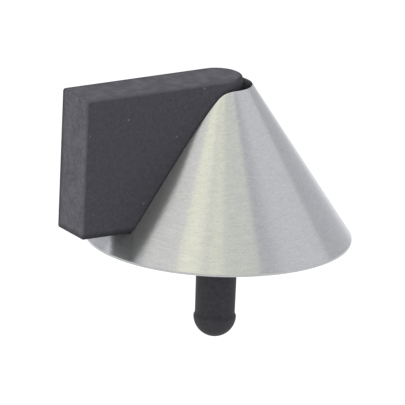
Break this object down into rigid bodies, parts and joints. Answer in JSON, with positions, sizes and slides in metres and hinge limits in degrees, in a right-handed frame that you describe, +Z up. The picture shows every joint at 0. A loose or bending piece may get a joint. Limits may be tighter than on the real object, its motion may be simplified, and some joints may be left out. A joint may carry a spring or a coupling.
{
  "type": "door stop",
  "caption": "Floor-mounted door stop: brushed steel cone with a keyhole slot, a rubber block standing in the slot and a round-ended plug for a drilled floor hole.",
  "frame": {"origin": "on the axis of the floor plug, at floor level, which is the plane of the cone's rim and of the plug's top", "axes": "+Z up along the plug and the cone, -Y towards the impact face of the rubber block, +X to the right of the block seen from its impact face"},
  "size_m": [0.05, 0.0572, 0.0513],
  "materials": {
    "cover_steel": "satin stainless steel, brushed round the cone",
    "block_rubber": "matt black moulded rubber",
    "plug_plastic": "matt black moulded plastic",
    "zinc_steel": "zinc plated steel",
    "pad_rubber": "fine-celled black pad"
  },
  "bodies": {
    "plug": {"floor_plug": "plug_plastic"},
    "stop": {"cone_cover": "cover_steel", "rubber_block": "block_rubber", "base_plate": "zinc_steel", "base_pad": "pad_rubber", "stud": "zinc_steel", "lower_nut": "zinc_steel", "plain_washer": "zinc_steel", "spring_washer": "zinc_steel", "upper_nut": "zinc_steel"}
  },
  "joints": [
    {"name": "aim", "type": "hinge", "parent": "plug", "child": "stop", "pos_m": [0, 0, 0], "axis": [0, 0, 1], "continuous": true}
  ]
}
